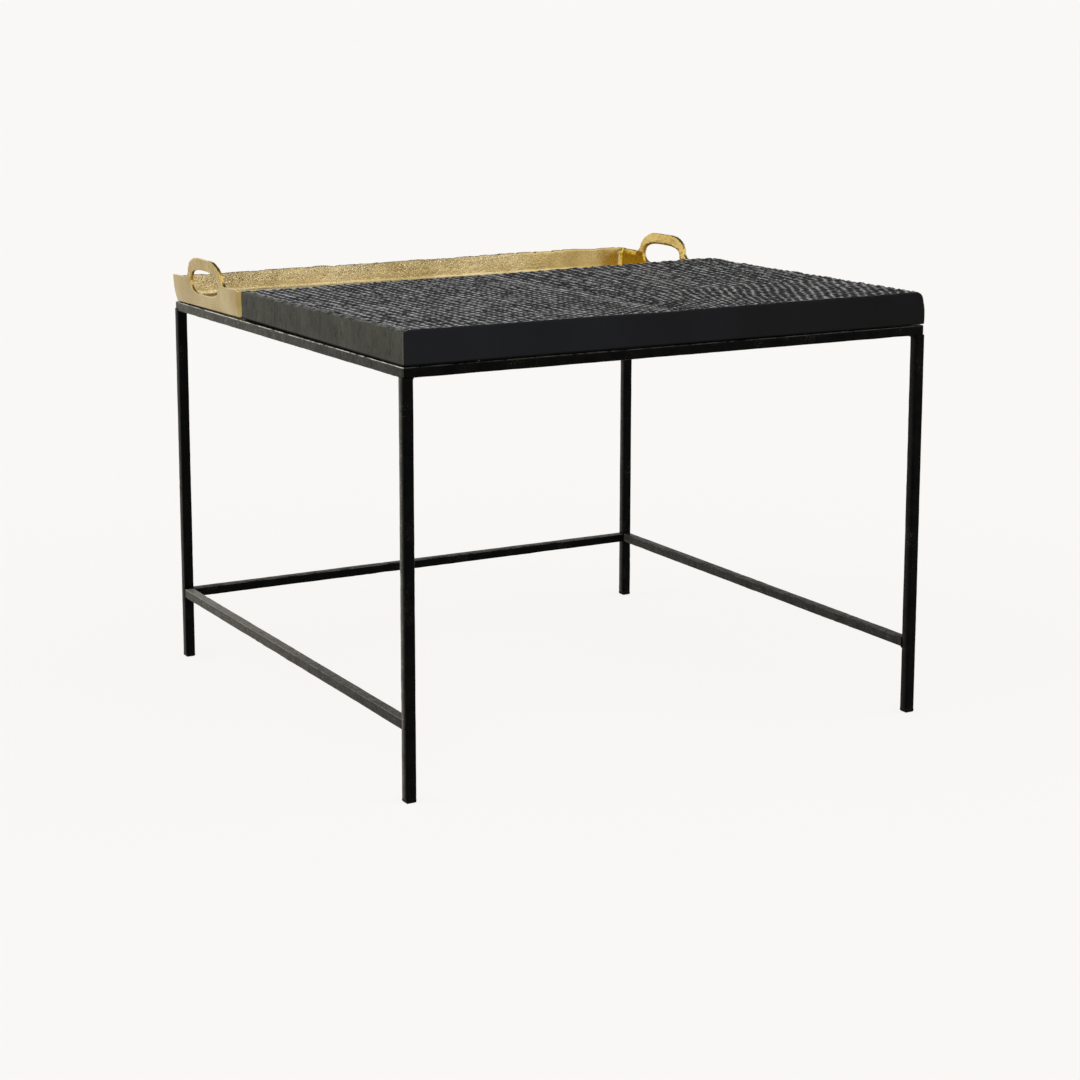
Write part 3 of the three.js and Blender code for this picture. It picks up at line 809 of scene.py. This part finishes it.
def edge_profile():
    """Rings down a board's side: part of the side, how far down it, and how far out."""
    rings = []
    for step in range(1, 4):
        angle = step / 3 * TURN / 4
        rings.append(("drop", EDGE_RADIUS * (1 - math.cos(angle)), EDGE_RADIUS * math.sin(angle)))
    for step in range(1, SIDE_RINGS):
        rings.append(("side", step / SIDE_RINGS, EDGE_RADIUS))
    for step in range(0, 3):
        angle = step / 2 * TURN / 4
        inset = ARRIS * (1 - math.cos(angle))
        rings.append(("foot", ARRIS * (1 - math.sin(angle)), EDGE_RADIUS - inset))
    return rings


def slab_board(name, side, stains):
    """Rebuilds one board: a carved top, worked sides, small arrises and a plain underside."""
    low, high = box_mm(name)
    outer_right = side > 0
    left = low[0] + (0 if outer_right else EDGE_RADIUS)
    right = high[0] - (END_SLOPE + EDGE_RADIUS if outer_right else 0)
    front, back = low[1] + EDGE_RADIUS, high[1] - EDGE_RADIUS
    xs, ys = lines_across(left, right), lines_across(front, back)
    grid_x, grid_y = np.meshgrid(xs, ys)
    heights, hollow = top_height(grid_x, grid_y, side)
    top = np.stack([grid_x, grid_y, heights], axis=-1)
    rows, columns = grid_x.shape
    index = np.arange(rows * columns).reshape(rows, columns)
    cells = np.stack([index[:-1, :-1], index[:-1, 1:], index[1:, 1:], index[1:, :-1]], axis=-1)
    faces = [tuple(cell) for cell in cells.reshape(-1, 4)]
    rim = np.concatenate([index[0, :-1], index[:-1, -1], index[-1, :0:-1], index[:0:-1, 0]])
    rim_points = top.reshape(-1, 3)[rim]
    share_x = (rim_points[:, 0] - left) / (right - left)
    share_y = (rim_points[:, 1] - front) / (back - front)
    points = [top.reshape(-1, 3)]
    depths = [hollow.reshape(-1)]
    painted_gap_shade = [np.zeros(hollow.size)]
    at_left = 0.0 if outer_right else 1.0
    sawn = [at_left * smooth_step(-297, -301, top.reshape(-1, 3)[:, 0])]
    rim_hollow = hollow.reshape(-1)[rim]
    bottom = low[2] + SLAB_LIFT
    previous = rim
    count = len(rim)
    total = rows * columns
    for kind, where, out in edge_profile():
        if kind == "drop":
            z = rim_points[:, 2] - where
        elif kind == "side":
            z = (rim_points[:, 2] - EDGE_RADIUS) * (1 - where) + (bottom + ARRIS) * where
        else:
            z = np.full(count, bottom + where)
        x_left = left - (0 if outer_right else out)
        x_right = np.full(count, right)
        if outer_right:
            plumb = bottom + SHOULDER_HEIGHT
            rise = np.clip((z - plumb) / (RIDGE_HEIGHT - plumb), 0, 1)
            lean = 0.4 * rise ** 1.3 + 0.6 * rise ** 9
            x_right = right + out + END_SLOPE * (1 - lean)
        x = x_left + (x_right - x_left) * share_x
        y = (front - out) + (back - front + 2 * out) * share_y
        if kind == "side":
            ends = smooth_step(0, 0.12, np.minimum(where, 1 - where))
            on_left = (share_x == 0) & (not outer_right)
            x = x - np.where(on_left, sawn_relief(y, z, ends), 0)
            on_right = (share_x == 1) & outer_right
            x = x + np.where(on_right, ends * 0.45 * noise(y / 16, z / 8, 0.0, 65), 0)
            on_front = share_y == 0
            y = y - np.where(on_front, ends * 0.12 * noise(x / 45, z / 18, 0.0, 66), 0)
            on_back = share_y == 1
            y = y + np.where(on_back, ends * 0.2 * noise(x / 12, z / 9, 0.0, 67), 0)
        inward = -1 if outer_right else 1
        inward_x = (x - (x_right if outer_right else x_left)) * inward
        inward_y = np.minimum(y - (front - out), (back + out) - y)
        u, v = UPRIGHT_EDGE - inward_x, UPRIGHT_EDGE - inward_y
        near, scale = roundness(u, v)
        shift_x = np.where(near, u - u * scale, 0)
        shift_y = np.where(near, v - v * scale, 0)
        x = x + shift_x * inward
        y = y + shift_y * np.where(share_y < 0.5, 1, -1)
        points.append(np.stack([x, y, z], axis=-1))
        depths.append(rim_hollow * (kind == "drop"))
        # marks the lower arris rings for painted shade
        painted_gap_shade.append(np.full(count, float(kind == "foot")))
        # the near upright edge gets 2, for a pale line that is partly a painted highlight
        at_edge = (share_x == 0) & (share_y < 0.0025)
        sawn.append(at_left * np.maximum(1.0 * (share_x == 0), 2.0 * at_edge))
        ring = np.arange(total, total + count)
        after = np.roll(np.arange(count), -1)
        quads = np.stack([previous, ring, ring[after], previous[after]], axis=-1)
        faces += [tuple(quad) for quad in quads]
        previous = ring
        total += count
    faces.append(tuple(previous))
    carving, sides = stains
    points = np.concatenate(points)
    made = make_object("carved_" + name, points, faces, carving, "table")
    made.data.materials.append(sides)
    carved = len(cells.reshape(-1, 4)) + count
    made.data.polygons.foreach_set("material_index", [int(i >= carved) for i in range(len(faces))])
    face_outward(made)
    store(made, "gouge", np.concatenate(depths))
    store(made, "sawn", np.concatenate(sawn))
    store(made, "painted_gap_shade", np.concatenate(painted_gap_shade))
    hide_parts(name)
    return made


# ---- cast tray ----------------------------------------------------------------------------

TRAY_VOXEL = 1.0
BACK_RIM_LEFT = -2.5  # how much higher the back rim lies at each end than its drawn height
BACK_RIM_RIGHT = 2.0
TRAY_FACES = 95000
TRAY_RIM = 451.0  # height of the rim
WALL_BELLY = 1.3  # how far the end walls bulge
LEFT_LEAN = 2.0  # how far out the left end stands at the back
HANDLE_GOLD = 0.36  # how much yellower the handles are than the outer walls


def cast_tray(material):
    """Rebuilds the tray as one soft-edged casting with an uneven back rim and wavy walls."""
    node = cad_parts["tray"]
    low, high = box_mm("tray")
    work = node.data.copy()
    made = bpy.data.objects.new("cast_tray", work)
    bpy.context.scene.collection.objects.link(made)
    remesh = made.modifiers.new("remesh", "REMESH")
    remesh.mode = "VOXEL"
    remesh.voxel_size = TRAY_VOXEL * MM
    smooth = made.modifiers.new("smooth", "SMOOTH")
    smooth.factor = 0.5
    smooth.iterations = 2
    apply_modifiers(made)
    mesh = made.data
    count = len(mesh.vertices)
    flat = np.zeros(count * 3, np.float32)
    mesh.vertices.foreach_get("co", flat)
    points = flat.reshape(-1, 3).astype(float) / MM
    normals = np.zeros(count * 3, np.float32)
    mesh.vertices.foreach_get("normal", normals)
    normals = normals.reshape(-1, 3).astype(float)
    x, y, z = points.T
    rim = TRAY_RIM
    back_wall = smooth_step(high[1] - 12, high[1] - 8, y)
    share = (x - low[0]) / (high[0] - low[0])
    uneven = BACK_RIM_LEFT + (BACK_RIM_RIGHT - BACK_RIM_LEFT) * share
    uneven = uneven + 0.7 * noise(x / 30, 0.0, 0.0, 71) + 0.45 * noise(x / 7, y / 7, 0.0, 72)
    uneven = uneven - 0.9 * smooth_step(0.30, 0.70, noise(x / 5, y / 9, 0.0, 77))
    near_corner = np.minimum(smooth_step(0, 16, x - low[0]), smooth_step(0, 16, high[0] - x))
    rising = smooth_step(rim - 18, rim, z)
    dz = back_wall * uneven * rising * near_corner
    swell = 0.35 * noise(x / 38, y / 38, z / 38, 73) + 0.12 * noise(x / 9, y / 9, z / 9, 74)
    inside_back = smooth_step(0.55, 0.85, -normals[:, 1]) * back_wall
    floor = smooth_step(0.8, 0.95, normals[:, 2]) * smooth_step(432, 429, z)
    ground = smooth_step(130, 190, x + 18 * noise(x / 40, z / 12, 0.0, 75))
    raw = np.maximum(inside_back * (1 - 0.9 * ground), 0.35 * floor)
    raw = np.maximum(raw, 0.8 * back_wall * smooth_step(0.3, 0.7, normals[:, 2]) * (1 - ground))
    sand = raw * 0.26 * noise(x / 2.2, y / 2.2, z / 2.2, 76)
    left_wall = smooth_step(low[0] + 24, low[0] + 8, x)
    end_wall = np.maximum(left_wall, smooth_step(high[0] - 24, high[0] - 8, x))
    # warmer gold on the handles and upper end walls; the inner end walls get a painted deep-gold
    # reflection
    gold_and_reflection = HANDLE_GOLD * smooth_step(rim - 6, rim + 8, z) * end_wall
    # painted reflection: the inner faces of the end walls are marked for a deep gold, as brass
    # reflecting brass
    facing_in = np.where(x > 0, -normals[:, 0], normals[:, 0])
    painted_inner_reflection = smooth_step(0.6, 0.85, facing_in) * end_wall * smooth_step(rim + 2, rim - 3, z)
    gold_and_reflection = np.maximum(gold_and_reflection, painted_inner_reflection)
    tall = np.clip((z - low[2]) / (rim - low[2]), 0, 1)
    belly = WALL_BELLY * np.sin(math.pi * tall) * end_wall
    share_back = np.clip((y - low[1]) / (high[1] - low[1]), 0, 1)
    left_end = smooth_step(low[0] + 90, low[0] + 20, x)
    slump = left_end * share_back
    dz = dz - CORNER_DROOP * left_end * (y + 296) / 592 * (1 - smooth_step(0.2, 1.0, tall))
    dx = np.where(x > 0, belly, -belly) - LEFT_LEAN * slump * smooth_step(rim + 8, rim, z)
    points = points + normals * (swell * smooth_step(low[2] + 0.5, low[2] + 4, z) + sand)[:, None]
    points[:, 0] += dx
    points[:, 2] += dz
    mesh.vertices.foreach_set("co", (points * MM).astype(np.float32).ravel())
    store(made, "raw_casting", raw)
    store(made, "handle_gold_and_painted_reflection", gold_and_reflection)
    mesh.update()
    if len(mesh.polygons) > TRAY_FACES:
        lighter = made.modifiers.new("lighter", "DECIMATE")
        lighter.ratio = TRAY_FACES / len(mesh.polygons)
        apply_modifiers(made)
        mesh = made.data
    mesh.polygons.foreach_set("use_smooth", [True] * len(mesh.polygons))
    mesh.materials.clear()
    mesh.materials.append(material)
    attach(made, "tray")
    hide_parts("tray")
    return made


def apply_modifiers(made):
    graph = bpy.context.evaluated_depsgraph_get()
    result = bpy.data.meshes.new_from_object(made.evaluated_get(graph))
    old = made.data
    made.modifiers.clear()
    made.data = result
    if old.users == 0:
        bpy.data.meshes.remove(old)


# ---- fittings that stay as CAD nodes ------------------------------------------------------


def dress(names, material, bevel, segments=2):
    """Gives CAD nodes a material and rounds their edges by so many millimetres."""
    for name in names:
        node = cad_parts[name]
        for number in range(len(node.material_slots)):
            node.material_slots[number].material = material
        add_bevel(node, bevel * MM, segments)


def dress_fittings():
    plastic = plain_finish("foot_plastic", (0.002, 0.002, 0.002, 1), 0.30, 0.0, 0.00003, 0.03)
    rubber = plain_finish("pad_rubber", (0.014, 0.014, 0.014, 1), 0.75, 0.0, 0.0001, 0.3)
    zinc = plain_finish("screw_zinc", (0.55, 0.56, 0.58, 1), 0.28, 1.0, 0.00005)
    steel = frame_paint()
    dress(["foot_plug_" + corner for corner in CORNERS], plastic, 0.8, 3)
    dress(["slab_washer_" + corner for corner in CORNERS], rubber, 0.25)
    dress(["tray_pad_" + corner for corner in CORNERS], rubber, 0.3)
    dress(["slab_screw_" + corner for corner in CORNERS], zinc, 0.25)
    dress(["slab_tab_" + corner for corner in CORNERS], steel, 0.5)
    return steel


# ---- stage --------------------------------------------------------------------------------


FLOOR_GLOW = 0.866  # the floor is a light table, so it keeps only a faint shadow
FLOOR_PAINT = 0.10
BACKGROUND = 0.956
PAPER_WHITE = (1.0, 0.982, 0.963, 1)


def make_stage():
    bpy.ops.mesh.primitive_plane_add(size=400)
    floor = bpy.context.object
    floor.name = "floor"
    s = Shader("floor_glow")
    paper = s.finish(
        Base_Color=grey(FLOOR_PAINT, *PAPER_WHITE[:3]),
        Roughness=1.0,
        Specular_IOR_Level=0.0,
        Emission_Color=PAPER_WHITE,
        Emission_Strength=FLOOR_GLOW,
    )
    floor.data.materials.append(paper)


def make_world():
    """A white studio: bright low down behind the object, dim overhead, a soft box in front."""
    world = bpy.data.worlds.new("studio")
    world.use_nodes = True
    tree = world.node_tree
    nodes, links = tree.nodes, tree.links
    background = nodes["Background"]
    coordinates = nodes.new("ShaderNodeTexCoord")
    split = nodes.new("ShaderNodeSeparateXYZ")
    links.new(coordinates.outputs["Generated"], split.inputs[0])

    def ramp(axis, low, high, start, end):
        made = nodes.new("ShaderNodeMapRange")
        made.interpolation_type = "SMOOTHSTEP"
        for number, value in enumerate((low, high, start, end)):
            made.inputs[number + 1].default_value = value
        links.new(split.outputs[axis], made.inputs[0])
        return made.outputs[0]

    def combine(operation, first, second):
        made = nodes.new("ShaderNodeMath")
        made.operation = operation
        links.new(first, made.inputs[0])
        links.new(second, made.inputs[1])
        return made.outputs[0]

    behind = ramp("Y", -0.35, 0.25, 0.0, 1.0)
    behind = combine("MULTIPLY", behind, ramp("Z", 0.20, 0.60, 1.55, 0.16))
    behind = combine("MULTIPLY", behind, ramp("X", -0.2, 0.6, 1.0, 0.75))
    before = ramp("Y", -0.35, 0.25, 1.0, 0.0)
    before = combine("MULTIPLY", before, ramp("Z", -0.02, 0.16, 0.75, 1.7))
    before = combine("MULTIPLY", before, ramp("Z", 0.60, 0.95, 1.0, 0.35))
    light = combine("ADD", behind, before)
    paths = nodes.new("ShaderNodeLightPath")
    seen = nodes.new("ShaderNodeMix")
    links.new(paths.outputs["Is Camera Ray"], seen.inputs[0])
    links.new(light, seen.inputs[2])
    seen.inputs[3].default_value = BACKGROUND
    background.inputs["Color"].default_value = PAPER_WHITE
    links.new(seen.outputs[0], background.inputs["Strength"])
    bpy.context.scene.world = world


def make_lights():
    data = bpy.data.lights.new("key", "SUN")
    data.energy = 0.7
    data.angle = math.radians(40)
    data.color = (1.0, 0.99, 0.96)
    key = bpy.data.objects.new("key", data)
    key.rotation_euler = (math.radians(52), 0, math.radians(-105))
    bpy.context.scene.collection.objects.link(key)


# ---- object -------------------------------------------------------------------------------

make_camera()
make_stage()
make_world()
make_lights()
steel = dress_fittings()
make_bars(steel)
make_welds(steel)
stains = carved_stain(), side_stain()
slab_board("slab_board_left", -1, stains)
slab_board("slab_board_right", 1, stains)
cast_tray(cast_brass())
bpy.context.scene.view_settings.view_transform = "Standard"
